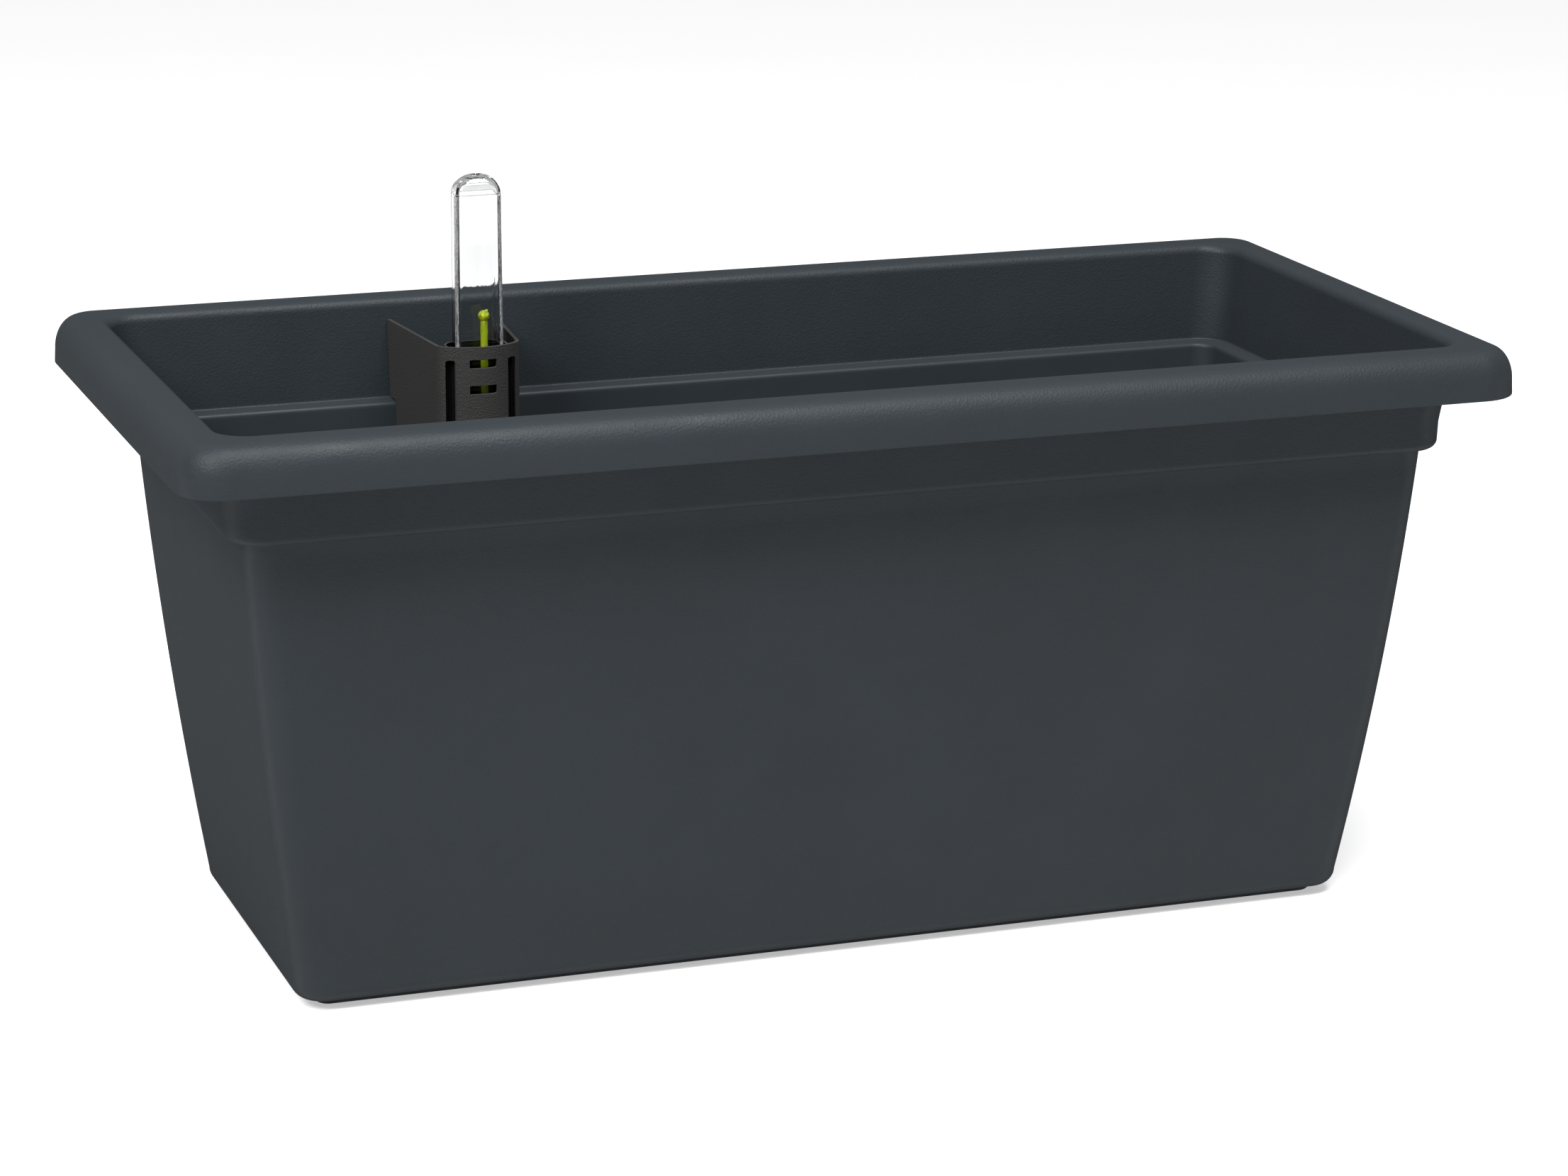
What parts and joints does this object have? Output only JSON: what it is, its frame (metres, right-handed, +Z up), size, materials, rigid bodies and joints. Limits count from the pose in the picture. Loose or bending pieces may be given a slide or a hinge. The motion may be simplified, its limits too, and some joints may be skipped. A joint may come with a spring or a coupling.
{
  "type": "self watering planter",
  "caption": "Rectangular tapered trough with a rolled rim, a false floor over a water reservoir, a filling shaft and a float gauge in a clear tube.",
  "frame": {"origin": "on the ground under the middle of the rim's box, bottom centre of the whole object", "axes": "+X along the trough, -Y is the front, +Y the back wall with the filling shaft, +Z up"},
  "size_m": [0.8, 0.391, 0.44],
  "materials": {
    "shell_plastic": "satin, fine leather grain, anthracite",
    "deck_plastic": "plain moulded, black grey",
    "shaft_plastic": "leather grain, dark grey",
    "black_plastic": "glossy black",
    "clear_plastic": "polished clear",
    "lime_plastic": "satin lime green",
    "float_plastic": "closed foam, off white",
    "seal_rubber": "matt",
    "plug_plastic": "satin anthracite"
  },
  "bodies": {
    "planter": {"planter_box": "shell_plastic", "platform_left": "deck_plastic", "platform_right": "deck_plastic", "platform_clip_1": "deck_plastic", "platform_clip_2": "deck_plastic", "support_leg_1": "deck_plastic", "support_leg_2": "deck_plastic", "support_leg_3": "deck_plastic", "support_leg_4": "deck_plastic", "support_leg_5": "deck_plastic", "support_leg_6": "deck_plastic", "support_leg_7": "deck_plastic", "support_leg_8": "deck_plastic", "wick_cup_1": "deck_plastic", "wick_cup_2": "deck_plastic", "wick_cup_3": "deck_plastic", "wick_cup_4": "deck_plastic"},
    "shaft": {"filler_shaft": "shaft_plastic", "gauge_carrier": "black_plastic", "float_cage": "deck_plastic"},
    "gauge_tube": {"gauge_tube": "clear_plastic", "gauge_cap": "clear_plastic"},
    "float": {"float_rod": "lime_plastic", "float_body": "float_plastic"},
    "drain_seal": {"drain_seal": "seal_rubber"},
    "drain_plug": {"drain_plug": "plug_plastic"}
  },
  "joints": [
    {"name": "shaft_lift", "type": "slide", "parent": "planter", "child": "shaft", "axis": [0, 0, 1], "range_m": [0, 0.26]},
    {"name": "gauge_tube_lift", "type": "slide", "parent": "shaft", "child": "gauge_tube", "axis": [0, 0, 1], "range_m": [0, 0.12]},
    {"name": "float_rise", "type": "slide", "parent": "shaft", "child": "float", "axis": [0, 0, 1], "range_m": [0, 0.066]},
    {"name": "drain_draw", "type": "slide", "parent": "planter", "child": "drain_seal", "axis": [0, 1, 0], "range_m": [0, 0.0091]},
    {"name": "drain_turn", "type": "hinge", "parent": "drain_seal", "child": "drain_plug", "pos_m": [0.26, 0.135, 0.052], "axis": [0, 1, 0], "range_deg": [0, 1080]}
  ],
  "couplings": [
    {"joint": "drain_draw", "follows": "drain_turn", "m_per_rad": 0.00047746}
  ]
}
